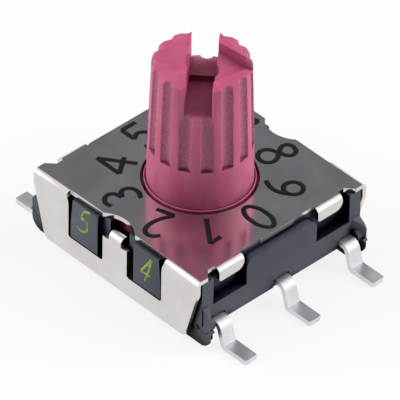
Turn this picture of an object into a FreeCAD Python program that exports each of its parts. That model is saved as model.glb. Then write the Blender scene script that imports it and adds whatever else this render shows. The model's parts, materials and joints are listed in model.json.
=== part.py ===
import FreeCAD, Part
import math
import os

from FreeCAD import Vector

# Ten-position rotary dip switch for surface mounting. Sizes are in millimetres.
# +Z is up along the rotor axis, and the origin is on the seating plane of the solder feet.
# The three leads of each row stand along Y, on the +X and the -X side.

# Gaps between pieces
RUNNING_GAP = 0.04
COLLAR_GAP = 0.10
CONTACT_GAP = 0.02
PARTING_GAP = 0.02
CUT_OVERRUN = 1.0

# Moulded body, overall
LEAD_PITCH = 2.54
BODY_END_MARGIN = 0.61
BODY_HALF_X = 3.46
BODY_HALF_Y = LEAD_PITCH + BODY_END_MARGIN
SEAM_Z = 0.75

# Lead frame, tin-plated strip
LEAD_WIDTH = 0.46
LEAD_SHEET = 0.17
LEAD_EXIT = 0.285
LEAD_LEG_RUN = 0.205
LEAD_FOOT_LENGTH = 0.955
LEAD_PLANE_Z = 0.785
LEAD_SHOULDER_RADIUS = 0.22
LEAD_HEEL_RADIUS = 0.10
LEAD_TIP_ROUND = 0.05

# Cover, one stamped and folded sheet
COVER_SHEET = 0.14
COVER_TOP_Z = 2.50
COVER_FIT_GAP = 0.07
COVER_FOLD_RADIUS = 0.11
EAR_WIDTH = 0.43
EAR_SLANT = 0.24
STUB_HALF_WIDTH = 0.66
STUB_PROUD = 0.04
FLANGE_BOTTOM_Z = 0.23
FLANGE_TAPER = 0.49
FLANGE_STRAIGHT = 0.48
FLANGE_ROUND = 0.22
WINDOW_INNER_X = 0.51
WINDOW_OUTER_X = 1.97
WINDOW_BOTTOM_Z = 0.89
WINDOW_ROUND = 0.10
WINDOW_FLARE = 0.09
WINDOW_FLARE_DROP = 0.46
WINDOW_EDGE_INSET = 0.16
TONGUE_DROP = 0.66
NECK_HALF_WIDTH = 0.25
NECK_DROP = 0.45
NECK_OVERLAP = 0.05
NECK_FOLD_RADIUS = 0.11
ARC_RADIUS = 1.00
ARC_DEPTH = 0.27
TAB_WIDTH = 0.98
TAB_CENTRE_Y = 1.96
TAB_INSET = 0.03
TAB_DROP = 0.46
TAB_SMALL_ROUND = 0.10
TAB_LARGE_ROUND = 0.26

# Moulded body, upper part
CAVITY_WALL = 0.25
PANEL_DROP = 0.11
PANEL_SETBACK = 0.24
PANEL_CORNER_RADIUS = 0.30
PANEL_HALF_WIDTH = 1.39
CORNER_POST_WIDTH = 0.44
POCKET_FLOOR_Z = 1.37
POCKET_DEPTH = 0.34
SKIRT_WALL = 0.22
LEAD_SLOT_GAP = 0.08
LEAD_SLOT_TOP_Z = 0.90
LUG_REACH = 0.32
LUG_WIDTH = 0.29
LUG_EDGE_WIDTH = 0.04
LUG_INSET_Y = 0.03
LUG_SHOULDER_Z = 1.40
LUG_BEND_Z = 1.22
LUG_FLAT_TOP_Z = 1.08
LUG_TONGUE_RADIUS = 0.24
LUG_TONGUE_Z = 0.80
LUG_TONGUE_INSET = 0.02
PAD_INNER_X = 0.76
PAD_EDGE_GAP = 0.07
PAD_TOP_EDGE_GAP = 0.15
PAD_SLANT_Z = 1.45
PAD_RECESS = 0.03
NECK_OPENING_GAP = 0.15
NECK_OPENING_DEPTH = 0.13

# Moulded body, lower part
RIM_BOTTOM_Z = 0.55
RIM_CHAMFER = 0.06
CORE_BOTTOM_Z = 0.24
CORE_INSET = 0.34
FOOT_BOTTOM_Z = 0.05
FOOT_LENGTH = 1.01
FOOT_DEPTH = 0.42
FOOT_ROUND = 0.42
SEAM_BEAD = 0.06
SPRING_POST_WIDTH = 0.32
SPRING_NUB_RADIUS = 0.09
SPRING_POST_ANGLE = 60.0

# Click spring
SPRING_SHEET = 0.10
SPRING_SEAT_Z = 1.20
SPRING_SIDE_GAP = 0.10
SPRING_RING_WIDTH = 0.38
SPRING_BRIDGE_HALF = 0.80
SPRING_BRIDGE_WIDTH = 0.28
SPRING_CREST_RADIUS = 0.12
SPRING_CREST_RISE = 0.07

# Rotor, one moulding
COLLAR_RADIUS = 1.645
COLLAR_LIP_RISE = 0.05
COLLAR_LIP_WIDTH = 0.05
COLLAR_GROOVE_DEPTH = 0.06
SKIRT_BASE_RADIUS = 1.575
SPLINE_BASE_RADIUS = 1.555
SPLINE_TOP_RADIUS = 1.465
SPLINE_BASE_Z = 3.88
ROTOR_TOP_Z = 6.80
ROTOR_TOP_ROUND = 0.12
ROTOR_TOP_EASE = 0.035
SPLINE_COUNT = 15
SPLINE_PHASE = -37.0
SPLINE_DEPTH = 0.15
SPLINE_CUTTER_RADIUS = 0.20
SLOT_WIDTH = 0.81
SLOT_DEPTH = 1.00
SLOT_ANGLE = -47.9
CENTRE_HOLE_RADIUS = 0.50
SLOT_POCKET_LENGTH = 1.13
SLOT_POCKET_DEPTH = 0.20
POINTER_DEPTH = 0.33
POINTER_HALF_WIDTH = 0.90
POINTER_HALF_ANGLE = 36.4
FLANGE_SIDE_GAP = 0.10
FLANGE_TOP_GAP = 0.10
FLANGE_THICKNESS = 0.41
DRUM_SIDE_GAP = 0.06
PIVOT_RADIUS = 0.48
PIVOT_BOTTOM_Z = 0.52
NOTCH_CUTTER_RADIUS = 0.22
NOTCH_DEPTH = 0.12
POSITIONS = 10

# Seal between rotor and cover
SEAL_MARGIN = 0.41
SEAL_SECTION = 0.24
SEAL_GROOVE_DEPTH = 0.15

# Code disc under the rotor
DISC_BOTTOM_Z = 1.42
DISC_SHEET = 0.08
DISC_INSET = 0.03
DISC_INNER_RADIUS = 0.66
COMMON_TRACK_RADIUS = 0.90
TRACK_EDGE = 0.23
TRACK_WEB = 0.08
CODE_BITS = (1, 2, 4, 8)

# Contact fingers, thinned from the strip of the leads
FINGER_WIDTH = 0.20
FINGER_SHEET = 0.09
FINGER_ROOT_X = 2.34
FINGER_LINK_LENGTH = 0.36
FINGER_CREST_RADIUS = 0.10
FINGER_TIP_DROP = 0.12
FINGER_TIP_LENGTH = 0.16

# The leads start from the body's side
LEAD_SHOULDER_X = BODY_HALF_X + LEAD_EXIT
LEAD_HEEL_X = LEAD_SHOULDER_X + LEAD_LEG_RUN
LEAD_TIP_X = LEAD_HEEL_X + LEAD_FOOT_LENGTH
LEAD_ROWS = (-LEAD_PITCH, 0.0, LEAD_PITCH)
SLOT_HALF_WIDTH = LEAD_WIDTH / 2 + LEAD_SLOT_GAP
FLOOR_Z = LEAD_PLANE_Z + LEAD_SHEET / 2

# The cover is folded round the body
PLATE_BOTTOM_Z = COVER_TOP_Z - COVER_SHEET
COVER_HALF_Y = BODY_HALF_Y + COVER_FIT_GAP + COVER_SHEET
COVER_EAR_X = BODY_HALF_X
COVER_EDGE_X = BODY_HALF_X - PANEL_SETBACK - PARTING_GAP
EAR_INNER_Y = COVER_HALF_Y - EAR_WIDTH
FLANGE_TAPER_TOP_Z = COVER_TOP_Z - FLANGE_STRAIGHT
FLANGE_BOTTOM_X = BODY_HALF_X - FLANGE_TAPER
WINDOW_EDGE_Y = COVER_HALF_Y - WINDOW_EDGE_INSET
WINDOW_FLARE_Z = COVER_TOP_Z - WINDOW_FLARE_DROP
TONGUE_TOP_Z = COVER_TOP_Z - TONGUE_DROP
NECK_PLANE_Z = COVER_TOP_Z - NECK_DROP
NECK_TIP_Y = BODY_HALF_Y - NECK_OVERLAP
TAB_OUTER_X = BODY_HALF_X - TAB_INSET
TAB_BOTTOM_Z = COVER_TOP_Z - TAB_DROP

# The body's openings lie between its outside and the cover
CAVITY_RADIUS = BODY_HALF_Y - CAVITY_WALL
PANEL_TOP_Z = PLATE_BOTTOM_Z - PANEL_DROP
POCKET_OUTER_Y = BODY_HALF_Y - CORNER_POST_WIDTH
PAD_OUTER_X = WINDOW_OUTER_X - PAD_EDGE_GAP
PAD_TOP_OUTER_X = WINDOW_OUTER_X - PAD_TOP_EDGE_GAP
FOOT_INNER_X = BODY_HALF_X - FOOT_LENGTH

# The turning pieces fill the cavity
SPRING_OUTER_RADIUS = CAVITY_RADIUS - SPRING_SIDE_GAP
SPRING_INNER_RADIUS = SPRING_OUTER_RADIUS - SPRING_RING_WIDTH
ROTOR_FLANGE_RADIUS = CAVITY_RADIUS - FLANGE_SIDE_GAP
ROTOR_FLANGE_TOP_Z = PLATE_BOTTOM_Z - FLANGE_TOP_GAP
ROTOR_FLANGE_BOTTOM_Z = ROTOR_FLANGE_TOP_Z - FLANGE_THICKNESS
SPRING_CREST_CENTRE_Z = ROTOR_FLANGE_BOTTOM_Z + SPRING_CREST_RISE
COLLAR_LIP_Z = COVER_TOP_Z + COLLAR_LIP_RISE
DRUM_RADIUS = SPRING_INNER_RADIUS - DRUM_SIDE_GAP
SEAL_RADIUS = COLLAR_RADIUS + SEAL_MARGIN
DISC_TOP_Z = DISC_BOTTOM_Z + DISC_SHEET
DISC_OUTER_RADIUS = DRUM_RADIUS - DISC_INSET
BIT_TRACK_PITCH = (DISC_OUTER_RADIUS - TRACK_EDGE - COMMON_TRACK_RADIUS) / len(CODE_BITS)
TRACK_WIDTH = BIT_TRACK_PITCH - TRACK_WEB

# Turns and sides
TURN = 360.0
STEP = TURN / POSITIONS
BOTH = (-1, 1)


def box(x_low, x_high, y_low, y_high, z_low, z_high):
    """Block between two corners."""
    size = Vector(x_high - x_low, y_high - y_low, z_high - z_low)
    return Part.makeBox(size.x, size.y, size.z, Vector(x_low, y_low, z_low))


def drum(radius, z_low, z_high, x=0.0, y=0.0):
    """Upright cylinder."""
    return Part.makeCylinder(radius, z_high - z_low, Vector(x, y, z_low))


def span(low, high, sign):
    """The interval from low to high on the side that sign names, in rising order."""
    return tuple(sorted((sign * low, sign * high)))


def turned(shape, degrees):
    """The shape turned about the rotor axis."""
    copy = shape.copy()
    copy.rotate(Vector(0, 0, 0), Vector(0, 0, 1), degrees)
    return copy


def along_y(points, y_low, y_high):
    """Prism along Y over an outline of (x, z) points."""
    outline = [Vector(x, y_low, z) for x, z in points]
    face = Part.Face(Part.makePolygon(outline + outline[:1]))
    return face.extrude(Vector(0, y_high - y_low, 0))


def rounded(shape, radius, chosen):
    """Fillets the straight edges whose middle point passes the test."""
    edges = [edge for edge in shape.Edges if chosen(edge.CenterOfMass, edge)]
    return shape.makeFillet(radius, edges)


def is_along(edge, direction):
    """True for a straight edge that runs along the direction."""
    ends = edge.Vertexes[-1].Point.sub(edge.Vertexes[0].Point)
    return ends.Length > 0 and abs(abs(ends.normalize().dot(direction)) - 1) < 1e-6


def strip_side(path, radii, offset):
    """One side of a bent strip in its own plane, as lines and arcs beside the centre line."""
    edges = []
    direction = (path[1] - path[0]).normalize()
    here = path[0] + left_of(direction) * offset
    for corner, following, radius in zip(path[1:-1], path[2:], radii):
        onward = (following - corner).normalize()
        turn = direction.getAngle(onward)
        side = 1 if direction.x * onward.y - direction.y * onward.x > 0 else -1
        reach = radius * math.tan(turn / 2)
        arc_start = corner - direction * reach
        arc_end = corner + onward * reach
        centre = arc_start + left_of(direction) * (side * radius)
        middle = centre + (corner - centre).normalize() * (radius - side * offset)
        first = arc_start + left_of(direction) * offset
        last = arc_end + left_of(onward) * offset
        edges.append(Part.LineSegment(here, first).toShape())
        edges.append(Part.Arc(first, middle, last).toShape())
        here = last
        direction = onward
    final = path[-1] + left_of(direction) * offset
    edges.append(Part.LineSegment(here, final).toShape())
    return edges, final


def left_of(direction):
    """The unit vector a quarter turn to the left in the XY plane."""
    return Vector(-direction.y, direction.x, 0)


def bent_strip(points, radii, sheet, width):
    """A folded strip: centre-line points in its own XY plane, centred on Z = 0."""
    path = [Vector(a, b, 0) for a, b in points]
    left, left_end = strip_side(path, radii, sheet / 2)
    right, right_end = strip_side(path, radii, -sheet / 2)
    start = left_of((path[1] - path[0]).normalize()) * (sheet / 2)
    caps = [
        Part.LineSegment(path[0] + start, path[0] - start).toShape(),
        Part.LineSegment(left_end, right_end).toShape(),
    ]
    outline = Part.Wire(Part.__sortEdges__(left + right + caps))
    solid = Part.Face(outline).extrude(Vector(0, 0, width))
    solid.translate(Vector(0, 0, -width / 2))
    return solid


def strip_in_xz(points, radii, sheet, width, y=0.0):
    """Folded strip whose profile is drawn in the XZ plane, with its width along Y."""
    solid = bent_strip(points, radii, sheet, width)
    solid.rotate(Vector(0, 0, 0), Vector(1, 0, 0), 90)
    solid.translate(Vector(0, y, 0))
    return solid


def strip_in_yz(points, radii, sheet, width, x=0.0):
    """Folded strip whose profile is drawn in the YZ plane, with its width along X."""
    solid = bent_strip(points, radii, sheet, width)
    solid.rotate(Vector(0, 0, 0), Vector(1, 0, 0), 90)
    solid.rotate(Vector(0, 0, 0), Vector(0, 0, 1), 90)
    solid.translate(Vector(x, 0, 0))
    return solid


def flange_outline():
    """What the folded sheet is trimmed to, seen from the front: tapered flanges, round at the foot."""
    top = COVER_TOP_Z + CUT_OVERRUN
    points = [
        (-COVER_EAR_X, top),
        (-COVER_EAR_X, FLANGE_TAPER_TOP_Z),
        (-FLANGE_BOTTOM_X, FLANGE_BOTTOM_Z),
        (FLANGE_BOTTOM_X, FLANGE_BOTTOM_Z),
        (COVER_EAR_X, FLANGE_TAPER_TOP_Z),
        (COVER_EAR_X, top),
    ]
    reach = COVER_HALF_Y + CUT_OVERRUN
    blank = along_y(points, -reach, reach)
    foot = (FLANGE_BOTTOM_Z + FLANGE_TAPER_TOP_Z) / 2
    across = Vector(0, 1, 0)
    return rounded(blank, FLANGE_ROUND, lambda c, e: is_along(e, across) and c.z < foot)


def edge_relief(sign):
    """What is sheared off the plate between its two ears, slanting in beside each ear."""
    x_low, x_high = span(COVER_EDGE_X, COVER_EAR_X + CUT_OVERRUN, sign)
    bottom = FLANGE_TAPER_TOP_Z
    blank = box(x_low, x_high, -EAR_INNER_Y, EAR_INNER_Y, bottom, COVER_TOP_Z + CUT_OVERRUN)
    root = sign * COVER_EDGE_X
    upright = Vector(0, 0, 1)
    edges = [e for e in blank.Edges if is_along(e, upright) and abs(e.CenterOfMass.x - root) < EAR_SLANT]
    return blank.makeChamfer(EAR_SLANT, edges)


def window_cut(side, sign):
    """One window through a flange, open at its top through the fold."""
    x_low, x_high = span(WINDOW_INNER_X, WINDOW_OUTER_X, sign)
    y_low, y_high = span(WINDOW_EDGE_Y, COVER_HALF_Y + CUT_OVERRUN, side)
    blank = box(x_low, x_high, y_low, y_high, WINDOW_BOTTOM_Z, COVER_TOP_Z + CUT_OVERRUN)
    low = WINDOW_BOTTOM_Z + WINDOW_ROUND
    across = Vector(0, 1, 0)
    return rounded(blank, WINDOW_ROUND, lambda c, e: is_along(e, across) and c.z < low)


def window_flare(side, sign):
    """Rounded relief that opens the outer edge of a window towards the fold."""
    height = PLATE_BOTTOM_Z - WINDOW_FLARE_Z
    radius = (height ** 2 + WINDOW_FLARE ** 2) / (2 * WINDOW_FLARE)
    outer = WINDOW_OUTER_X + WINDOW_FLARE
    y_low, y_high = span(WINDOW_EDGE_Y, COVER_HALF_Y + CUT_OVERRUN, side)
    x_low, x_high = span(WINDOW_INNER_X, outer, sign)
    block = box(x_low, x_high, y_low, y_high, WINDOW_FLARE_Z, COVER_TOP_Z + CUT_OVERRUN)
    centre = Vector(sign * (WINDOW_OUTER_X + radius), y_low, WINDOW_FLARE_Z)
    bar = Part.makeCylinder(radius, y_high - y_low, centre, Vector(0, 1, 0))
    above = box(x_low, x_high, y_low, y_high, PLATE_BOTTOM_Z, COVER_TOP_Z + CUT_OVERRUN)
    return block.cut(bar).fuse(above)


def tongue_cut(side):
    """Space above the tongue between the windows, and the arc sheared into the plate."""
    y_low, y_high = span(WINDOW_EDGE_Y, COVER_HALF_Y + CUT_OVERRUN, side)
    above = COVER_TOP_Z + CUT_OVERRUN
    gap = box(-WINDOW_OUTER_X, WINDOW_OUTER_X, y_low, y_high, TONGUE_TOP_Z, above)
    centre = side * (WINDOW_EDGE_Y - ARC_DEPTH + ARC_RADIUS)
    return gap.fuse(drum(ARC_RADIUS, PLATE_BOTTOM_Z - COVER_SHEET, above, 0.0, centre))


def tongue_neck(side):
    """The narrow neck of the tongue, folded inwards under the plate."""
    y_sheet = COVER_HALF_Y - COVER_SHEET / 2
    points = [
        (side * y_sheet, TONGUE_TOP_Z - COVER_SHEET),
        (side * y_sheet, NECK_PLANE_Z),
        (side * NECK_TIP_Y, NECK_PLANE_Z),
    ]
    return strip_in_yz(points, [NECK_FOLD_RADIUS], COVER_SHEET, 2 * NECK_HALF_WIDTH)


def side_tab(sign, row):
    """A tab folded down from the plate's edge into its pocket."""
    x_sheet = sign * (TAB_OUTER_X - COVER_SHEET / 2)
    z_sheet = COVER_TOP_Z - COVER_SHEET / 2
    centre = row * TAB_CENTRE_Y
    points = [
        (sign * (COVER_EDGE_X - COVER_SHEET), z_sheet),
        (x_sheet, z_sheet),
        (x_sheet, TAB_BOTTOM_Z),
    ]
    strip = strip_in_xz(points, [COVER_FOLD_RADIUS], COVER_SHEET, TAB_WIDTH, centre)
    y_low = centre - TAB_WIDTH / 2
    y_high = centre + TAB_WIDTH / 2
    reach = TAB_OUTER_X + CUT_OVERRUN
    outline = box(-reach, reach, y_low, y_high, TAB_BOTTOM_Z, COVER_TOP_Z + CUT_OVERRUN)
    along = Vector(1, 0, 0)
    low = TAB_BOTTOM_Z + TAB_SMALL_ROUND
    outline = rounded(
        outline, TAB_SMALL_ROUND, lambda c, e: is_along(e, along) and c.z < low and c.y < centre
    )
    outline = rounded(
        outline, TAB_LARGE_ROUND, lambda c, e: is_along(e, along) and c.z < low and c.y > centre
    )
    return strip.common(outline)


def make_cover():
    """The cover: a plate with two tapered flanges, windows, tongues and four side tabs."""
    y_sheet = COVER_HALF_Y - COVER_SHEET / 2
    z_sheet = COVER_TOP_Z - COVER_SHEET / 2
    points = [
        (-y_sheet, FLANGE_BOTTOM_Z),
        (-y_sheet, z_sheet),
        (y_sheet, z_sheet),
        (y_sheet, FLANGE_BOTTOM_Z),
    ]
    folds = [COVER_FOLD_RADIUS, COVER_FOLD_RADIUS]
    sheet = strip_in_yz(points, folds, COVER_SHEET, 2 * COVER_EAR_X)
    sheet = sheet.common(flange_outline())
    below = PLATE_BOTTOM_Z - COVER_SHEET
    cuts = [drum(COLLAR_RADIUS + COLLAR_GAP, below, COVER_TOP_Z + CUT_OVERRUN)]
    cuts += [edge_relief(sign) for sign in BOTH]
    cuts += [window_cut(side, sign) for side in BOTH for sign in BOTH]
    cuts += [window_flare(side, sign) for side in BOTH for sign in BOTH]
    cuts += [tongue_cut(side) for side in BOTH]
    sheet = sheet.cut(cuts)
    stub_reach = COVER_EDGE_X + STUB_PROUD
    stub = box(
        -stub_reach, stub_reach, -STUB_HALF_WIDTH, STUB_HALF_WIDTH, PLATE_BOTTOM_Z, COVER_TOP_Z
    )
    stub = stub.cut(drum(CAVITY_RADIUS, below, COVER_TOP_Z + CUT_OVERRUN))
    additions = [stub]
    additions += [tongue_neck(side) for side in BOTH]
    additions += [side_tab(sign, row) for sign in BOTH for row in BOTH]
    return sheet.fuse(additions).removeSplitter()


def lug_wedge(sign, side, z_low, z_high):
    """Plan shape of a corner lug: flush on the outside, slanting back on the inside."""
    outer_x = BODY_HALF_X + LUG_REACH
    inner_x = BODY_HALF_X - LUG_REACH
    y_outer = BODY_HALF_Y - LUG_INSET_Y
    plan = [
        (inner_x, y_outer),
        (outer_x, y_outer),
        (outer_x, y_outer - LUG_EDGE_WIDTH),
        (BODY_HALF_X, y_outer - LUG_WIDTH),
        (inner_x, y_outer - LUG_WIDTH),
    ]
    outline = [Vector(sign * x, side * y, z_low) for x, y in plan]
    face = Part.Face(Part.makePolygon(outline + outline[:1]))
    return face.extrude(Vector(0, 0, z_high - z_low))


def upper_lug(sign, side):
    """The upper moulding's corner lug, with a round tongue that reaches into the lower one."""
    outer_x = BODY_HALF_X + LUG_REACH
    shoulder = [
        (BODY_HALF_X - LUG_REACH, SEAM_Z),
        (outer_x, SEAM_Z),
        (outer_x, LUG_FLAT_TOP_Z),
        (outer_x - LUG_REACH / 4, LUG_BEND_Z),
        (BODY_HALF_X, LUG_SHOULDER_Z),
    ]
    y_outer = BODY_HALF_Y - LUG_INSET_Y
    y_low, y_high = span(y_outer - LUG_WIDTH, y_outer, side)
    corner = (BODY_HALF_X - LUG_REACH, LUG_SHOULDER_Z)
    lug = along_y([(sign * x, z) for x, z in [corner] + shoulder], y_low, y_high)
    lug = lug.common(lug_wedge(sign, side, SEAM_Z, LUG_SHOULDER_Z))
    return lug.fuse(lug_tongue(sign, y_low, y_high, 0.0))


def lug_tongue(sign, y_low, y_high, gap):
    """Half-round end of the upper lug."""
    centre = Vector(sign * (BODY_HALF_X + LUG_TONGUE_INSET), y_low, LUG_TONGUE_Z)
    radius = LUG_TONGUE_RADIUS + gap
    return Part.makeCylinder(radius, y_high - y_low, centre, Vector(0, 1, 0))


def window_pad(side, sign):
    """Raised pad that fills a window of the cover and carries a numeral."""
    top = PLATE_BOTTOM_Z - PARTING_GAP
    points = [
        (PAD_INNER_X, WINDOW_BOTTOM_Z + PARTING_GAP),
        (PAD_OUTER_X, WINDOW_BOTTOM_Z + PARTING_GAP),
        (PAD_OUTER_X, PAD_SLANT_Z),
        (PAD_TOP_OUTER_X, top),
        (PAD_INNER_X, top),
    ]
    y_low, y_high = span(CAVITY_RADIUS, COVER_HALF_Y - PAD_RECESS, side)
    return along_y([(sign * x, z) for x, z in points], y_low, y_high)


def panel_relief(sign):
    """Set-back above the centre panel, so that its top stands clear of the plate's edge."""
    x_low, x_high = span(BODY_HALF_X - PANEL_SETBACK, BODY_HALF_X + CUT_OVERRUN, sign)
    half = POCKET_OUTER_Y
    return box(x_low, x_high, -half, half, PANEL_TOP_Z, PLATE_BOTTOM_Z + CUT_OVERRUN)


def panel_corner(sign, row):
    """Rounds off an upper corner of the centre panel."""
    x_low, x_high = span(BODY_HALF_X - PANEL_SETBACK, BODY_HALF_X + CUT_OVERRUN, sign)
    centre_y = row * (PANEL_HALF_WIDTH - PANEL_CORNER_RADIUS)
    centre_z = PANEL_TOP_Z - PANEL_CORNER_RADIUS
    y_low, y_high = span(PANEL_HALF_WIDTH - PANEL_CORNER_RADIUS, PANEL_HALF_WIDTH, row)
    block = box(x_low, x_high, y_low, y_high, centre_z, PANEL_TOP_Z)
    start = Vector(x_low, centre_y, centre_z)
    bar = Part.makeCylinder(PANEL_CORNER_RADIUS, x_high - x_low, start, Vector(1, 0, 0))
    return block.cut(bar)


def tab_pocket(sign, row):
    """Pocket that takes a side tab of the cover."""
    x_low, x_high = span(BODY_HALF_X - POCKET_DEPTH, BODY_HALF_X + CUT_OVERRUN, sign)
    y_low, y_high = span(PANEL_HALF_WIDTH, POCKET_OUTER_Y, row)
    return box(x_low, x_high, y_low, y_high, POCKET_FLOOR_Z, PLATE_BOTTOM_Z + CUT_OVERRUN)


def lead_slot(sign, row, z_low, z_high):
    """Notch in the side wall that a lead passes through."""
    inner = BODY_HALF_X - SKIRT_WALL - LEAD_SLOT_GAP
    x_low, x_high = span(inner, BODY_HALF_X + CUT_OVERRUN, sign)
    return box(x_low, x_high, row - SLOT_HALF_WIDTH, row + SLOT_HALF_WIDTH, z_low, z_high)


def neck_opening(side):
    """Opening in the thin wall where the cover's neck folds in over the rotor."""
    half = NECK_HALF_WIDTH + NECK_OPENING_GAP
    y_low, y_high = span(CAVITY_RADIUS / 2, BODY_HALF_Y + CUT_OVERRUN, side)
    z_low = NECK_PLANE_Z - COVER_SHEET / 2 - NECK_OPENING_DEPTH
    return box(-half, half, y_low, y_high, z_low, PLATE_BOTTOM_Z + CUT_OVERRUN)


def make_housing():
    """The upper moulding: round cavity, centre panels, pockets, window pads and corner lugs."""
    block = box(-BODY_HALF_X, BODY_HALF_X, -BODY_HALF_Y, BODY_HALF_Y, SEAM_Z, PLATE_BOTTOM_Z)
    pads = [window_pad(side, sign) for side in BOTH for sign in BOTH]
    lugs = [upper_lug(sign, side) for sign in BOTH for side in BOTH]
    block = block.fuse(pads + lugs)
    skirt_x = BODY_HALF_X - SKIRT_WALL
    skirt_y = BODY_HALF_Y - SKIRT_WALL
    inside = CAVITY_RADIUS / 2
    cuts = [
        drum(CAVITY_RADIUS, SEAM_Z - inside, PLATE_BOTTOM_Z + CUT_OVERRUN),
        box(-skirt_x, skirt_x, -skirt_y, skirt_y, SEAM_Z - inside, FLOOR_Z),
    ]
    cuts += [panel_relief(sign) for sign in BOTH]
    cuts += [panel_corner(sign, row) for sign in BOTH for row in BOTH]
    cuts += [tab_pocket(sign, row) for sign in BOTH for row in BOTH]
    cuts += [neck_opening(side) for side in BOTH]
    slot_low = SEAM_Z - inside
    cuts += [lead_slot(sign, row, slot_low, LEAD_SLOT_TOP_Z) for sign in BOTH for row in LEAD_ROWS]
    return block.cut(cuts).removeSplitter()


def corner_foot(sign, side):
    """Stand-off foot and lower lug at one corner of the base."""
    outer_x = BODY_HALF_X + LUG_REACH
    y_outer = BODY_HALF_Y - LUG_INSET_Y
    y_low, y_high = span(y_outer - FOOT_DEPTH, y_outer, side)
    foot_x = span(FOOT_INNER_X, BODY_HALF_X, sign)
    lug_low, lug_high = span(y_outer - LUG_WIDTH, y_outer, side)
    x_low, x_high = span(BODY_HALF_X - LUG_REACH, outer_x, sign)
    foot = box(foot_x[0], foot_x[1], y_low, y_high, FOOT_BOTTOM_Z, RIM_BOTTOM_Z)
    lug = box(x_low, x_high, lug_low, lug_high, FOOT_BOTTOM_Z, SEAM_Z)
    across = Vector(0, 1, 0)
    toe = sign * outer_x
    middle = (FOOT_BOTTOM_Z + SEAM_Z) / 2
    lug = rounded(
        lug, FOOT_ROUND, lambda c, e: is_along(e, across) and abs(c.x - toe) < FOOT_ROUND and c.z < middle
    )
    lug = lug.common(lug_wedge(sign, side, FOOT_BOTTOM_Z, SEAM_Z))
    return foot.fuse([lug, seam_bead(sign, side)])


def seam_bead(sign, side):
    """Small bead of flash where the two mouldings meet at the tip of a lug."""
    y_outer = BODY_HALF_Y - LUG_INSET_Y
    y_low, y_high = span(y_outer - LUG_WIDTH / 2, y_outer, side)
    toe = BODY_HALF_X + LUG_REACH
    points = [
        (toe - SEAM_BEAD, SEAM_Z),
        (toe, SEAM_Z),
        (toe + SEAM_BEAD, SEAM_Z - SEAM_BEAD),
        (toe, SEAM_Z - 2 * SEAM_BEAD),
        (toe - SEAM_BEAD, SEAM_Z - 2 * SEAM_BEAD),
    ]
    return along_y([(sign * x, z) for x, z in points], y_low, y_high)


def spring_post(angle):
    """Square post with a round nub that seats the click spring."""
    radius = (SPRING_INNER_RADIUS + SPRING_OUTER_RADIUS) / 2
    half = SPRING_POST_WIDTH / 2
    post = box(radius - half, radius + half, -half, half, LEAD_PLANE_Z, SPRING_SEAT_Z)
    nub = drum(SPRING_NUB_RADIUS, LEAD_PLANE_Z, SPRING_SEAT_Z + SPRING_SHEET, radius)
    return turned(post.fuse(nub), angle)


def spring_post_angles():
    """The four post angles, symmetric about both axes."""
    return (
        SPRING_POST_ANGLE,
        TURN / 2 - SPRING_POST_ANGLE,
        TURN / 2 + SPRING_POST_ANGLE,
        TURN - SPRING_POST_ANGLE,
    )


def make_base(terminals):
    """The lower moulding: rim, raised floor, corner feet, pivot bore and spring posts."""
    rim = box(-BODY_HALF_X, BODY_HALF_X, -BODY_HALF_Y, BODY_HALF_Y, RIM_BOTTOM_Z, SEAM_Z)
    middle = (RIM_BOTTOM_Z + SEAM_Z) / 2
    upright = Vector(0, 0, 1)
    lower_edges = [e for e in rim.Edges if e.CenterOfMass.z < middle and not is_along(e, upright)]
    rim = rim.makeChamfer(RIM_CHAMFER, lower_edges)
    floor_x = BODY_HALF_X - SKIRT_WALL - PARTING_GAP
    floor_y = BODY_HALF_Y - SKIRT_WALL - PARTING_GAP
    core_x = BODY_HALF_X - CORE_INSET
    core_y = BODY_HALF_Y - CORE_INSET
    additions = [
        box(-floor_x, floor_x, -floor_y, floor_y, SEAM_Z, FLOOR_Z),
        box(-core_x, core_x, -core_y, core_y, CORE_BOTTOM_Z, RIM_BOTTOM_Z),
    ]
    additions += [corner_foot(sign, side) for sign in BOTH for side in BOTH]
    additions += [spring_post(angle) for angle in spring_post_angles()]
    base = rim.fuse(additions)
    pivot_radius = PIVOT_RADIUS + RUNNING_GAP
    cuts = [drum(pivot_radius, PIVOT_BOTTOM_Z - RUNNING_GAP, FLOOR_Z + CUT_OVERRUN)]
    cuts += [lead_slot(sign, row, CORE_BOTTOM_Z, SEAM_Z) for sign in BOTH for row in LEAD_ROWS]
    y_outer = BODY_HALF_Y - LUG_INSET_Y
    for sign in BOTH:
        for side in BOTH:
            y_low, y_high = span(y_outer - LUG_WIDTH - PARTING_GAP, y_outer + CUT_OVERRUN, side)
            cuts.append(lug_tongue(sign, y_low, y_high, PARTING_GAP))
    return base.cut(cuts + terminals).removeSplitter()


def finger(crest_x, y):
    """Springy finger that rises from the strip to its track on the code disc."""
    crest_z = DISC_BOTTOM_Z - CONTACT_GAP - FINGER_SHEET / 2
    points = [
        (FINGER_ROOT_X + FINGER_LINK_LENGTH / 2, FLOOR_Z - FINGER_SHEET / 2),
        (FINGER_ROOT_X, FLOOR_Z - FINGER_SHEET / 2),
        (crest_x, crest_z),
        (crest_x - FINGER_TIP_LENGTH, crest_z - FINGER_TIP_DROP),
    ]
    radii = [FINGER_CREST_RADIUS, FINGER_CREST_RADIUS]
    return strip_in_xz(points, radii, FINGER_SHEET, FINGER_WIDTH, y)


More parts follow.
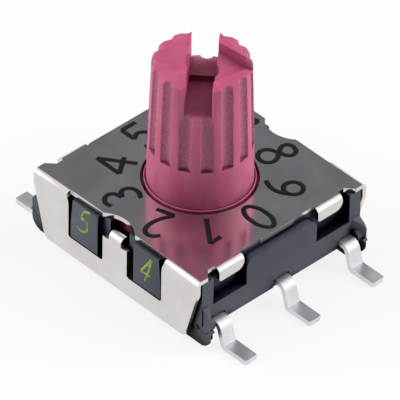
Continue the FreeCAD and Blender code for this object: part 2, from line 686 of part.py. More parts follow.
def outer_lead(y):
    """The gull-wing lead outside the body, with the flat strip that the base is moulded round."""
    points = [
        (FINGER_ROOT_X, LEAD_PLANE_Z),
        (LEAD_SHOULDER_X, LEAD_PLANE_Z),
        (LEAD_HEEL_X, LEAD_SHEET / 2),
        (LEAD_TIP_X, LEAD_SHEET / 2),
    ]
    radii = [LEAD_SHOULDER_RADIUS, LEAD_HEEL_RADIUS]
    lead = strip_in_xz(points, radii, LEAD_SHEET, LEAD_WIDTH, y)
    tip = LEAD_TIP_X - LEAD_TIP_ROUND
    upright = Vector(0, 0, 1)
    return rounded(lead, LEAD_TIP_ROUND, lambda c, e: is_along(e, upright) and c.x > tip)


def make_terminal(side, row, track_radius):
    """One terminal: gull-wing lead, strip in the base and contact finger."""
    bend = math.radians(TURN / 8) * abs(row)
    crest_x = track_radius * math.cos(bend)
    crest_y = row * track_radius * math.sin(bend)
    lead_y = row * LEAD_PITCH
    strip_low = FLOOR_Z - LEAD_SHEET
    link_y = sorted((crest_y - FINGER_WIDTH / 2, crest_y + FINGER_WIDTH / 2, lead_y))
    link = box(
        FINGER_ROOT_X, FINGER_ROOT_X + FINGER_LINK_LENGTH, link_y[0], link_y[-1], strip_low, FLOOR_Z
    )
    terminal = outer_lead(lead_y).fuse([link, finger(crest_x, crest_y)]).removeSplitter()
    if side < 0:
        terminal = turned(terminal, TURN / 2)
    return terminal


def track_radii():
    """Radius of the contact track of each code bit."""
    first = COMMON_TRACK_RADIUS + BIT_TRACK_PITCH
    return {bit: first + place * BIT_TRACK_PITCH for place, bit in enumerate(CODE_BITS)}


def finger_angles():
    """Direction of each bit's finger from the rotor axis, in degrees."""
    eighth = TURN / 8
    return {1: eighth, 2: TURN / 2 - eighth, 4: -eighth, 8: TURN / 2 + eighth}


def make_terminals():
    """The six terminals by name: four code bits at the corners and two commons."""
    radii = track_radii()
    return {
        "terminal_1": make_terminal(1, 1, radii[1]),
        "terminal_4": make_terminal(1, -1, radii[4]),
        "terminal_common_right": make_terminal(1, 0, COMMON_TRACK_RADIUS),
        "terminal_2": make_terminal(-1, -1, radii[2]),
        "terminal_8": make_terminal(-1, 1, radii[8]),
        "terminal_common_left": make_terminal(-1, 0, COMMON_TRACK_RADIUS),
    }


def off_runs(bit):
    """Runs of neighbouring positions in which the bit is off, as first position and length."""
    runs = []
    for position in range(POSITIONS):
        if position & bit:
            continue
        if runs and sum(runs[-1]) == position:
            runs[-1] = (runs[-1][0], runs[-1][1] + 1)
        else:
            runs.append((position, 1))
    return runs


def sector(radius_low, radius_high, angle_low, angle_high):
    """Window of the code disc between two radii and two angles."""
    below = DISC_BOTTOM_Z - DISC_SHEET
    height = 3 * DISC_SHEET
    sweep = angle_high - angle_low
    base = Vector(0, 0, below)
    outer = Part.makeCylinder(radius_high, height, base, Vector(0, 0, 1), sweep)
    inner = Part.makeCylinder(radius_low, height, base, Vector(0, 0, 1), sweep)
    return turned(outer.cut(inner), angle_low)


def make_code_disc():
    """Metal disc under the rotor, pierced wherever a code bit is off."""
    disc = drum(DISC_OUTER_RADIUS, DISC_BOTTOM_Z, DISC_TOP_Z)
    windows = [drum(DISC_INNER_RADIUS, DISC_BOTTOM_Z - DISC_SHEET, DISC_TOP_Z + DISC_SHEET)]
    angles = finger_angles()
    for bit, radius in track_radii().items():
        for first, length in off_runs(bit):
            start = angles[bit] + (first - 0.5) * STEP
            low = radius - TRACK_WIDTH / 2
            windows.append(sector(low, low + TRACK_WIDTH, start, start + length * STEP))
    return disc.cut(windows)


def rotor_profile():
    """Half section of the rotor as (radius, height) points, from the pivot up to the top."""
    hub = DISC_INNER_RADIUS - CONTACT_GAP
    groove = COLLAR_RADIUS - COLLAR_LIP_WIDTH
    return [
        (0.0, PIVOT_BOTTOM_Z),
        (PIVOT_RADIUS, PIVOT_BOTTOM_Z),
        (PIVOT_RADIUS, DISC_BOTTOM_Z),
        (hub, DISC_BOTTOM_Z),
        (hub, DISC_TOP_Z),
        (DRUM_RADIUS, DISC_TOP_Z),
        (DRUM_RADIUS, ROTOR_FLANGE_BOTTOM_Z),
        (ROTOR_FLANGE_RADIUS, ROTOR_FLANGE_BOTTOM_Z),
        (ROTOR_FLANGE_RADIUS, ROTOR_FLANGE_TOP_Z),
        (COLLAR_RADIUS, ROTOR_FLANGE_TOP_Z),
        (COLLAR_RADIUS, COLLAR_LIP_Z - COLLAR_LIP_WIDTH / 2),
        (COLLAR_RADIUS - COLLAR_LIP_WIDTH / 2, COLLAR_LIP_Z),
        (groove, COLLAR_LIP_Z - COLLAR_GROOVE_DEPTH),
        (SKIRT_BASE_RADIUS, COLLAR_LIP_Z),
        (SPLINE_BASE_RADIUS, SPLINE_BASE_Z),
        (SPLINE_TOP_RADIUS, ROTOR_TOP_Z - ROTOR_TOP_ROUND),
        (SPLINE_TOP_RADIUS - ROTOR_TOP_EASE, ROTOR_TOP_Z - ROTOR_TOP_EASE),
        (SPLINE_TOP_RADIUS - ROTOR_TOP_ROUND, ROTOR_TOP_Z),
        (0.0, ROTOR_TOP_Z),
    ]


def spline_grooves():
    """Round grooves of the splined shaft, leaning in with its draft."""
    height = ROTOR_TOP_Z - SPLINE_BASE_Z
    lean = math.degrees(math.atan2(SPLINE_BASE_RADIUS - SPLINE_TOP_RADIUS, height))
    centre = SPLINE_BASE_RADIUS - SPLINE_DEPTH + SPLINE_CUTTER_RADIUS
    cutter = drum(SPLINE_CUTTER_RADIUS, 0.0, height + CUT_OVERRUN)
    cutter.rotate(Vector(0, 0, 0), Vector(0, 1, 0), -lean)
    cutter.translate(Vector(centre, 0, SPLINE_BASE_Z))
    pitch = TURN / SPLINE_COUNT
    return [turned(cutter, SPLINE_PHASE + place * pitch) for place in range(SPLINE_COUNT)]


def driver_slot():
    """Full slot across the top for a flat driver."""
    reach = SPLINE_BASE_RADIUS + CUT_OVERRUN
    half = SLOT_WIDTH / 2
    low = ROTOR_TOP_Z - SLOT_DEPTH
    return turned(box(-reach, reach, -half, half, low, ROTOR_TOP_Z + CUT_OVERRUN), SLOT_ANGLE)


def slot_pocket():
    """Shallow pocket in the middle of the slot's floor."""
    reach = SLOT_POCKET_LENGTH / 2
    half = SLOT_WIDTH / 2
    low = ROTOR_TOP_Z - SLOT_DEPTH - SLOT_POCKET_DEPTH
    return turned(box(-reach, reach, -half, half, low, ROTOR_TOP_Z), SLOT_ANGLE)


def pointer_recess():
    """Arrow-head recess beside the driver slot, which points to the set position."""
    wall = SLOT_WIDTH / 2
    reach = POINTER_HALF_WIDTH / math.tan(math.radians(POINTER_HALF_ANGLE))
    low = ROTOR_TOP_Z - POINTER_DEPTH
    outline = [
        Vector(-POINTER_HALF_WIDTH, 0.0, low),
        Vector(-POINTER_HALF_WIDTH, wall, low),
        Vector(0.0, wall + reach, low),
        Vector(POINTER_HALF_WIDTH, wall, low),
        Vector(POINTER_HALF_WIDTH, 0.0, low),
    ]
    face = Part.Face(Part.makePolygon(outline + outline[:1]))
    return turned(face.extrude(Vector(0, 0, POINTER_DEPTH + CUT_OVERRUN)), SLOT_ANGLE)


def detent_notches():
    """Radial notches under the rotor flange, one for each position."""
    reach = ROTOR_FLANGE_RADIUS + CUT_OVERRUN
    centre_z = ROTOR_FLANGE_BOTTOM_Z + NOTCH_DEPTH - NOTCH_CUTTER_RADIUS
    start = Vector(DRUM_RADIUS, 0, centre_z)
    cutter = Part.makeCylinder(NOTCH_CUTTER_RADIUS, reach - DRUM_RADIUS, start, Vector(1, 0, 0))
    first = TURN / 4
    return [turned(cutter, first + place * STEP) for place in range(POSITIONS)]


def seal_groove():
    """Groove in the rotor flange for the seal."""
    low = ROTOR_FLANGE_TOP_Z - SEAL_GROOVE_DEPTH
    high = ROTOR_FLANGE_TOP_Z + COVER_SHEET / 2
    half = SEAL_SECTION / 2 + CONTACT_GAP
    return drum(SEAL_RADIUS + half, low, high).cut(drum(SEAL_RADIUS - half, low, high))


def make_rotor():
    """The rotor: splined shaft, collar, flange and pivot in one moulding."""
    outline = [Vector(radius, 0, height) for radius, height in rotor_profile()]
    face = Part.Face(Part.makePolygon(outline + outline[:1]))
    rotor = face.revolve(Vector(0, 0, 0), Vector(0, 0, 1), TURN)
    hole = drum(CENTRE_HOLE_RADIUS, ROTOR_TOP_Z - SLOT_DEPTH, ROTOR_TOP_Z + CUT_OVERRUN)
    cuts = [driver_slot(), slot_pocket(), pointer_recess(), hole, seal_groove()]
    cuts += spline_grooves() + detent_notches()
    return rotor.cut(cuts).removeSplitter()


def make_seal():
    """The square-cut rubber ring that lies in the rotor's groove under the plate."""
    low = ROTOR_FLANGE_TOP_Z - SEAL_GROOVE_DEPTH
    high = low + SEAL_SECTION
    half = SEAL_SECTION / 2
    return drum(SEAL_RADIUS + half, low, high).cut(drum(SEAL_RADIUS - half, low, high))


def spring_bridge(side):
    """Raised bridge of the click spring, whose crest drops into a notch."""
    centre_z = SPRING_SEAT_Z + SPRING_SHEET / 2
    y = side * (SPRING_INNER_RADIUS + SPRING_BRIDGE_WIDTH / 2)
    foot = SPRING_BRIDGE_HALF + SPRING_SHEET
    points = [
        (-foot - SPRING_SHEET, centre_z),
        (-foot, centre_z),
        (0.0, SPRING_CREST_CENTRE_Z),
        (foot, centre_z),
        (foot + SPRING_SHEET, centre_z),
    ]
    radii = [SPRING_CREST_RADIUS, SPRING_CREST_RADIUS, SPRING_CREST_RADIUS]
    return strip_in_xz(points, radii, SPRING_SHEET, SPRING_BRIDGE_WIDTH, y)


def make_click_spring():
    """Stamped ring with two raised bridges."""
    top = SPRING_SEAT_Z + SPRING_SHEET
    ring = drum(SPRING_OUTER_RADIUS, SPRING_SEAT_Z, top)
    cuts = [drum(SPRING_INNER_RADIUS, SPRING_SEAT_Z - SPRING_SHEET, top + SPRING_SHEET)]
    radius = (SPRING_INNER_RADIUS + SPRING_OUTER_RADIUS) / 2
    for angle in spring_post_angles():
        x = radius * math.cos(math.radians(angle))
        y = radius * math.sin(math.radians(angle))
        hole = SPRING_NUB_RADIUS + CONTACT_GAP
        cuts.append(drum(hole, SPRING_SEAT_Z - SPRING_SHEET, top + SPRING_SHEET, x, y))
    half = SPRING_BRIDGE_HALF
    reach = SPRING_OUTER_RADIUS + CUT_OVERRUN
    cuts.append(box(-half, half, -reach, reach, SPRING_SEAT_Z - SPRING_SHEET, top + SPRING_SHEET))
    return ring.cut(cuts).fuse([spring_bridge(side) for side in BOTH]).removeSplitter()


def save(name, shape):
    """Writes one piece under its node name."""
    shape.exportStep(os.path.join("parts", name + ".step"))


def main():
    """Builds every piece and writes it."""
    os.makedirs("parts", exist_ok=True)
    terminals = make_terminals()
    pieces = {
        "cover": make_cover(),
        "housing": make_housing(),
        "base": make_base(list(terminals.values())),
        "rotor": make_rotor(),
        "code_disc": make_code_disc(),
        "seal_ring": make_seal(),
        "click_spring": make_click_spring(),
    }
    pieces.update(terminals)
    for name, shape in pieces.items():
        save(name, shape)


main()
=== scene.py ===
# %% [markdown]
# # A rotary dip switch
#
# This lesson dresses the measured solids of a small coded rotary switch: a folded steel cover on a
# black moulded body, a raspberry pink splined shaft with a driver slot, and six tinned leads.
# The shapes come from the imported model. Here they get softened edges, their finishes, their printed
# numerals, and a quiet studio with the camera at the photograph's angle.

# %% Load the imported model
import json
import math

import bpy
from mathutils import Matrix, Vector


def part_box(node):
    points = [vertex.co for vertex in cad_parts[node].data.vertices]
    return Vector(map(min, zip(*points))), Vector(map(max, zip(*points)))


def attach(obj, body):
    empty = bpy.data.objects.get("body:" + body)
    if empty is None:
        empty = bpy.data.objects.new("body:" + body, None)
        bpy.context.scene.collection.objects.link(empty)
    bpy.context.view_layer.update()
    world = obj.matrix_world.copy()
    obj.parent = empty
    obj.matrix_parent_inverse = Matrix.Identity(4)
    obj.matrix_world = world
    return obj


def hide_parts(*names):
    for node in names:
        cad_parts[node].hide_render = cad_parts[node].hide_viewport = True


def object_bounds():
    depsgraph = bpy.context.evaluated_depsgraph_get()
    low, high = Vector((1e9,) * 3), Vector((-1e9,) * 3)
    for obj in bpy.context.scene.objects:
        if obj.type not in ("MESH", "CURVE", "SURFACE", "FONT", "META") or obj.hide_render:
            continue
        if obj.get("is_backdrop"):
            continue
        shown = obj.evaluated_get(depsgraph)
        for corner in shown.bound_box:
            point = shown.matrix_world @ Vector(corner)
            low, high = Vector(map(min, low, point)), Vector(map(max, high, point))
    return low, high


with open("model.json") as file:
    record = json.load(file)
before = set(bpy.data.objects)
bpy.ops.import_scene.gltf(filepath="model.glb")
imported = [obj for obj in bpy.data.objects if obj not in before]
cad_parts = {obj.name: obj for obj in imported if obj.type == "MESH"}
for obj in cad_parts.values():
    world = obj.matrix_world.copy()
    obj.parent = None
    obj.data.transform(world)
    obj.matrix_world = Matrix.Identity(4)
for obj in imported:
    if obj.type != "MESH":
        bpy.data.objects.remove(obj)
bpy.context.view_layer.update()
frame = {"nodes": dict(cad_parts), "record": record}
nodes = frame["nodes"]
print("solids:", sorted(nodes))

# %% [markdown]
# ## Millimetres, colours and nodes
#
# Blender works in metres, and the switch is under a centimetre wide, so its sizes are written in
# millimetres and multiplied by one value. Colours are written as they look on screen, as hex,
# and one function turns them into the linear numbers that a renderer works with. Another
# function adds a shader node with its settings and links, so that each material reads as a short
# recipe from top to bottom.

# %% Small helpers
MM = 0.001


def linear(hex_colour):
    """A screen colour such as "C0577F" as linear red, green, blue and alpha."""
    channels = [int(hex_colour[i:i + 2], 16) / 255 for i in (0, 2, 4)]
    channels = [c / 12.92 if c <= 0.04045 else ((c + 0.055) / 1.055) ** 2.4 for c in channels]
    return (*channels, 1.0)


def add(material, kind, inputs, stops=(), **settings):
    """Adds a node. An input takes a value or a node to link from, and stops colour a ramp."""
    tree = material.node_tree
    node = tree.nodes.new(kind)
    for name, value in settings.items():
        setattr(node, name, value)
    for name, value in inputs.items():
        if isinstance(value, bpy.types.Node):
            value = value.outputs[0]
        if isinstance(value, bpy.types.NodeSocket):
            tree.links.new(value, node.inputs[name])
        else:
            node.inputs[name].default_value = value
    for place, (position, colour) in enumerate(stops):
        node.color_ramp.elements[place].position = position
        node.color_ramp.elements[place].color = linear(colour)
    return node


def new_material(name):
    """A material with an empty node tree."""
    material = bpy.data.materials.new(name)
    material.use_nodes = True
    material.node_tree.nodes.clear()
    return material


print("raspberry pink is", [round(channel, 3) for channel in linear("C0577F")])

# %% [markdown]
# ## Raspberry moulding for the shaft
#
# The rotor is injection moulded in pink glass-filled nylon. The eye reads it by a soft sheen, a
# colour that wanders a little where the melt flowed, and a fine grain from the glass at its skin.
# The flow marks are noise stretched along the shaft by a Mapping node. The grain is a second
# noise of 0.07 mm, drawn coarser than the real one so that it still shows at this size.

# %% Glass-filled nylon, moulded
nylon = new_material("raspberry_glass_filled_nylon")
nylon_space = add(nylon, "ShaderNodeTexCoord", {}).outputs["Object"]
nylon_along = add(nylon, "ShaderNodeMapping", {"Vector": nylon_space, "Scale": (1, 1, 0.3)})
nylon_flow = add(nylon, "ShaderNodeTexNoise", {
    "Vector": nylon_along, "Scale": 1 / (0.45 * MM), "Detail": 4.0})
nylon_grain = add(nylon, "ShaderNodeTexNoise", {
    "Vector": nylon_space, "Scale": 1 / (0.07 * MM), "Detail": 2.0})
nylon_colour = add(nylon, "ShaderNodeValToRGB", {"Fac": nylon_flow}, [
    (0.3, "BA4A70"), (0.7, "C85D82")])
nylon_rough = add(nylon, "ShaderNodeMapRange", {
    "Value": nylon_grain, "From Min": 0.3, "From Max": 0.7, "To Min": 0.36, "To Max": 0.5})
nylon_relief = add(nylon, "ShaderNodeBump", {"Height": nylon_grain, "Distance": 0.006 * MM})
print(nylon.name, "has", len(nylon.node_tree.nodes), "nodes so far")

# %% [markdown]
# ## Painted sheen in the grooves and painted shade in the slot
#
# The beds of the shaft's grooves get a painted sheen, a paler pink that stands in for the light
# they catch. Painted shade makes the slot darker than the top, because little light gets out of
# it, and darkens the grooves a little. Both follow how far a point is closed in, which an ambient
# occlusion node measures: 1 in the open, about 0.7 to 0.9 in a groove, and less in the slot. The
# sheen is speckled by the grain, so it lies where the relief is high. It stops at the height where
# the grooves run out, so the collar below gets none, and inside the radius of the grooves' beds,
# so the slot gets none either.

# %% Painted sheen and painted shade on the nylon
GROOVE_FOOT_HEIGHT = 3.6 * MM
GROOVE_BED_RADIUS = 1.28 * MM
SLOT_REACH = 0.8 * MM
OPENNESS_SAMPLES = 8
nylon_open = add(nylon, "ShaderNodeAmbientOcclusion", {
    "Distance": SLOT_REACH}, samples=OPENNESS_SAMPLES)
nylon_sunk = add(nylon, "ShaderNodeMapRange", {
    "Value": nylon_open.outputs["AO"], "From Min": 0.92, "From Max": 0.75,
    "To Min": 0.0, "To Max": 1.0})
nylon_shallow = add(nylon, "ShaderNodeMapRange", {
    "Value": nylon_open.outputs["AO"], "From Min": 0.55, "From Max": 0.7,
    "To Min": 0.0, "To Max": 1.0})
nylon_bed = add(nylon, "ShaderNodeMath", {0: nylon_sunk, 1: nylon_shallow}, operation="MULTIPLY")
nylon_place = add(nylon, "ShaderNodeSeparateXYZ", {"Vector": nylon_space})
nylon_splined = add(nylon, "ShaderNodeMath", {
    0: nylon_place.outputs["Z"], 1: GROOVE_FOOT_HEIGHT}, operation="GREATER_THAN")
nylon_level = add(nylon, "ShaderNodeVectorMath", {
    0: nylon_space, 1: (1, 1, 0)}, operation="MULTIPLY")
nylon_reach = add(nylon, "ShaderNodeVectorMath", {0: nylon_level}, operation="LENGTH")
nylon_outer = add(nylon, "ShaderNodeMath", {
    0: nylon_reach.outputs["Value"], 1: GROOVE_BED_RADIUS}, operation="GREATER_THAN")
nylon_shell = add(nylon, "ShaderNodeMath", {
    0: nylon_splined, 1: nylon_outer}, operation="MULTIPLY")
nylon_sheen_place = add(nylon, "ShaderNodeMath", {
    0: nylon_bed, 1: nylon_shell}, operation="MULTIPLY")
# Painted sheen: the paler pink E2B8D0, mixed into the groove beds and speckled by the grain.
nylon_speck = add(nylon, "ShaderNodeMapRange", {
    "Value": nylon_grain, "From Min": 0.4, "From Max": 0.7, "To Min": 0.12, "To Max": 0.55})
nylon_painted_sheen = add(nylon, "ShaderNodeMath", {
    0: nylon_speck, 1: nylon_sheen_place}, operation="MULTIPLY")
nylon_with_painted_sheen = add(nylon, "ShaderNodeMix", {
    0: nylon_painted_sheen, 6: nylon_colour, 7: linear("E2B8D0")}, data_type="RGBA")
# Painted shade: the colour darkens where the surface is closed in.
nylon_painted_shade = add(nylon, "ShaderNodeMapRange", {
    "Value": nylon_open.outputs["AO"], "From Min": 0.35, "From Max": 0.9,
    "To Min": 0.45, "To Max": 1.0})
nylon_painted_colour = add(nylon, "ShaderNodeVectorMath", {
    "Vector": nylon_with_painted_sheen.outputs[2], "Scale": nylon_painted_shade}, operation="SCALE")
nylon_surface = add(nylon, "ShaderNodeBsdfPrincipled", {
    "Base Color": nylon_painted_colour, "Roughness": nylon_rough, "IOR": 1.53, "Normal": nylon_relief})
add(nylon, "ShaderNodeOutputMaterial", {"Surface": nylon_surface})
print(nylon.name, "has", len(nylon.node_tree.nodes), "nodes")

# %% [markdown]
# ## Black moulding for the case
#
# The two halves of the case are black glass-filled polyester. It isn't quite black: short fibres
# near the skin scatter light and lift it to a blue-grey, and the skin has an even, fine texture.
# A coarse noise shifts the colour a little, and a fine one makes the texture in the relief and in
# the roughness together, as a moulded skin shows both. Light that falls into a narrow pocket of
# so dark a plastic hardly comes out again, so that shade is painted in: an ambient occlusion node,
# which measures how far each point is closed in, fades colour and gloss to near black there.

# %% Glass-filled polyester, moulded
POCKET_REACH = 1.0 * MM
FULL_GLOSS = 0.5
polyester = new_material("black_glass_filled_polyester")
polyester_space = add(polyester, "ShaderNodeTexCoord", {}).outputs["Object"]
polyester_cloud = add(polyester, "ShaderNodeTexNoise", {
    "Vector": polyester_space, "Scale": 1 / (0.6 * MM), "Detail": 4.0})
polyester_fibre = add(polyester, "ShaderNodeTexNoise", {
    "Vector": polyester_space, "Scale": 1 / (0.07 * MM), "Detail": 3.0})
polyester_colour = add(polyester, "ShaderNodeValToRGB", {"Fac": polyester_cloud}, [
    (0.3, "1F2334"), (0.7, "2A2F44")])
polyester_rough = add(polyester, "ShaderNodeMapRange", {
    "Value": polyester_fibre, "From Min": 0.3, "From Max": 0.7, "To Min": 0.28, "To Max": 0.42})
polyester_relief = add(polyester, "ShaderNodeBump", {
    "Height": polyester_fibre, "Distance": 0.003 * MM})
polyester_open = add(polyester, "ShaderNodeAmbientOcclusion", {
    "Distance": POCKET_REACH}, samples=OPENNESS_SAMPLES)
# Painted shade: colour and gloss fade to near black in closed-in pockets.
polyester_painted_shade = add(polyester, "ShaderNodeMapRange", {
    "Value": polyester_open.outputs["AO"], "From Min": 0.5, "From Max": 0.85,
    "To Min": 0.05, "To Max": 1.0})
polyester_shaded_colour = add(polyester, "ShaderNodeVectorMath", {
    "Vector": polyester_colour, "Scale": polyester_painted_shade}, operation="SCALE")
polyester_shaded_gloss = add(polyester, "ShaderNodeMath", {
    0: polyester_painted_shade, 1: FULL_GLOSS}, operation="MULTIPLY")
polyester_surface = add(polyester, "ShaderNodeBsdfPrincipled", {
    "Base Color": polyester_shaded_colour, "Roughness": polyester_rough, "IOR": 1.62,
    "Specular IOR Level": polyester_shaded_gloss, "Normal": polyester_relief})
add(polyester, "ShaderNodeOutputMaterial", {"Surface": polyester_surface})
print(polyester.name, "has", len(polyester.node_tree.nodes), "nodes")

# %% [markdown]
# ## Stainless sheet for the cover
#
# The cover is stamped from bright rolled stainless strip. Rolling leaves a surface that mirrors
# its surroundings softly, with hair-fine lines along the rolling direction, and handling leaves
# faint smudges. The lines are noise stretched sixty times along the strip, 0.05 mm wide, and the
# smudges change the roughness and tint the steel a little. A metal keeps the shader's own IOR.

# %% Stainless steel, bright rolled
stainless = new_material("bright_rolled_stainless_steel")
stainless_space = add(stainless, "ShaderNodeTexCoord", {}).outputs["Object"]
stainless_along = add(stainless, "ShaderNodeMapping", {
    "Vector": stainless_space, "Scale": (1, 1 / 60, 1)})
stainless_lines = add(stainless, "ShaderNodeTexNoise", {
    "Vector": stainless_along, "Scale": 1 / (0.05 * MM), "Detail": 2.0})
stainless_smudge = add(stainless, "ShaderNodeTexNoise", {
    "Vector": stainless_space, "Scale": 1 / (1.1 * MM), "Detail": 5.0})
stainless_colour = add(stainless, "ShaderNodeValToRGB", {"Fac": stainless_smudge}, [
    (0.35, "D3CECC"), (0.65, "DDD9D7")])
stainless_rough = add(stainless, "ShaderNodeMapRange", {
    "Value": stainless_smudge, "From Min": 0.3, "From Max": 0.7, "To Min": 0.13, "To Max": 0.2})
stainless_relief = add(stainless, "ShaderNodeBump", {
    "Height": stainless_lines, "Distance": 0.0003 * MM})
stainless_surface = add(stainless, "ShaderNodeBsdfPrincipled", {
    "Base Color": stainless_colour, "Metallic": 1.0, "Roughness": stainless_rough,
    "Normal": stainless_relief})
add(stainless, "ShaderNodeOutputMaterial", {"Surface": stainless_surface})
print(stainless.name, "has", len(stainless.node_tree.nodes), "nodes")

# %% [markdown]
# ## Tin plate for the leads
#
# The leads are copper alloy dipped in tin, which freezes with a satin skin. Its crystals are too
# soft-edged to see one by one, so the skin is a smooth noise of 0.5 mm in the roughness and in a
# very shallow relief: deeper relief would make the leads look cast.

# %% Tin, dipped
tin = new_material("satin_tin_plate")
tin_space = add(tin, "ShaderNodeTexCoord", {}).outputs["Object"]
tin_skin = add(tin, "ShaderNodeTexNoise", {
    "Vector": tin_space, "Scale": 1 / (0.5 * MM), "Detail": 3.0})
tin_colour = add(tin, "ShaderNodeValToRGB", {"Fac": tin_skin}, [
    (0.3, "D9D8DC"), (0.7, "E6E5E9")])
tin_rough = add(tin, "ShaderNodeMapRange", {
    "Value": tin_skin, "From Min": 0.3, "From Max": 0.7, "To Min": 0.38, "To Max": 0.46})
tin_relief = add(tin, "ShaderNodeBump", {"Height": tin_skin, "Distance": 0.004 * MM})
tin_surface = add(tin, "ShaderNodeBsdfPrincipled", {
    "Base Color": tin_colour, "Metallic": 1.0, "Roughness": tin_rough, "Normal": tin_relief})
add(tin, "ShaderNodeOutputMaterial", {"Surface": tin_surface})
print(tin.name, "has", len(tin.node_tree.nodes), "nodes")

# %% [markdown]
# ## Gold plate for the code disc
#
# The disc that the contact fingers rub on is bronze plated with thin gold. It lies inside the
# case and shows from no side, but it is finished as the real one is: warm, smooth, with a
# roughness that varies where the plating followed the rolled bronze.

# %% Gold over bronze
gold = new_material("gold_plated_bronze")
gold_space = add(gold, "ShaderNodeTexCoord", {}).outputs["Object"]
gold_skin = add(gold, "ShaderNodeTexNoise", {
    "Vector": gold_space, "Scale": 1 / (0.12 * MM), "Detail": 4.0})
gold_colour = add(gold, "ShaderNodeValToRGB", {"Fac": gold_skin}, [
    (0.3, "DDB45C"), (0.7, "E7C172")])
gold_rough = add(gold, "ShaderNodeMapRange", {
    "Value": gold_skin, "From Min": 0.3, "From Max": 0.7, "To Min": 0.2, "To Max": 0.3})
gold_surface = add(gold, "ShaderNodeBsdfPrincipled", {
    "Base Color": gold_colour, "Metallic": 1.0, "Roughness": gold_rough})
add(gold, "ShaderNodeOutputMaterial", {"Surface": gold_surface})
print(gold.name, "has", len(gold.node_tree.nodes), "nodes")

# %% [markdown]
# ## Spring strip
#
# The click spring is stamped from bare rolled strip, darker and duller than the cover. Rolling
# lines of 0.04 mm run along X, so the noise is stretched that way.

# %% Rolled spring steel
spring_steel = new_material("rolled_spring_strip")
spring_space = add(spring_steel, "ShaderNodeTexCoord", {}).outputs["Object"]
spring_along = add(spring_steel, "ShaderNodeMapping", {
    "Vector": spring_space, "Scale": (1 / 30, 1, 1)})
spring_lines = add(spring_steel, "ShaderNodeTexNoise", {
    "Vector": spring_along, "Scale": 1 / (0.04 * MM), "Detail": 2.0})
spring_colour = add(spring_steel, "ShaderNodeValToRGB", {"Fac": spring_lines}, [
    (0.3, "A9A8A6"), (0.7, "B8B7B4")])
spring_rough = add(spring_steel, "ShaderNodeMapRange", {
    "Value": spring_lines, "From Min": 0.3, "From Max": 0.7, "To Min": 0.22, "To Max": 0.34})
spring_relief = add(spring_steel, "ShaderNodeBump", {
    "Height": spring_lines, "Distance": 0.0006 * MM})
spring_surface = add(spring_steel, "ShaderNodeBsdfPrincipled", {
    "Base Color": spring_colour, "Metallic": 1.0, "Roughness": spring_rough,
    "Normal": spring_relief})
add(spring_steel, "ShaderNodeOutputMaterial", {"Surface": spring_surface})
print(spring_steel.name, "has", len(spring_steel.node_tree.nodes), "nodes")

# %% [markdown]
# ## Rubber for the seal
#
# The square-cut ring under the cover is black nitrile rubber: dull, slightly uneven, and a little
# greyer where it was cut. Rubber has a high roughness and an ordinary IOR of 1.52.

# %% Nitrile rubber, cut
rubber = new_material("black_nitrile_rubber")
rubber_space = add(rubber, "ShaderNodeTexCoord", {}).outputs["Object"]
rubber_skin = add(rubber, "ShaderNodeTexNoise", {
    "Vector": rubber_space, "Scale": 1 / (0.08 * MM), "Detail": 4.0})
rubber_colour = add(rubber, "ShaderNodeValToRGB", {"Fac": rubber_skin}, [
    (0.3, "19191B"), (0.7, "232326")])
rubber_relief = add(rubber, "ShaderNodeBump", {"Height": rubber_skin, "Distance": 0.002 * MM})
rubber_surface = add(rubber, "ShaderNodeBsdfPrincipled", {
    "Base Color": rubber_colour, "Roughness": 0.68, "IOR": 1.52, "Normal": rubber_relief})
add(rubber, "ShaderNodeOutputMaterial", {"Surface": rubber_surface})
print(rubber.name, "has", len(rubber.node_tree.nodes), "nodes")

# %% [markdown]
# ## One finish for each solid
#
# The thirteen solids of the model are single real pieces, so each takes one material: what it is
# pressed, moulded or cut from. Handing them out in one place keeps the list easy to check against
# the real switch, and the rounded copies made next inherit their slots.

# %% Give each solid its finish
finishes = {
    "cover": stainless,
    "housing": polyester,
    "base": polyester,
    "rotor": nylon,
    "code_disc": gold,
    "seal_ring": rubber,
    "click_spring": spring_steel,
}
for name, solid in nodes.items():
    finish = finishes.get(name, tin)
    solid.data.materials.clear()
    solid.data.materials.append(finish)
    print(name, "is", finish.name)

# %% [markdown]
# ## Softened edges
#
# No real edge is perfectly sharp: stamping rolls the sheet's edge over, and a mould can't fill a
# knife-sharp corner. Those small roundings catch the light as thin bright lines, which is most of
# what tells the eye that a thing is real. The solids' meshes stay as they are, so each softened
# piece is a copy. Its loose triangles are merged, and those of a flat face dissolved into one
# face. A Bevel modifier rounds only the edges that turn by more than an angle, with its normals
# hardened so that the flat faces stay evenly shaded. The copy is then shown in the solid's place.

# %% Copies with rounded edges
BODY_OF = {node: body for body, members in frame["record"]["behaviour"]["bodies"].items()
           for node in members}
MERGE_DISTANCE = 0.0002 * MM
FLAT_TURN = math.radians(0.5)
EDGE_TURN = math.radians(40)
EDGE_SEGMENTS = 2
EDGE_WIDTHS = {"cover": 0.03 * MM, "rotor": 0.03 * MM, "housing": 0.02 * MM, "base": 0.02 * MM}


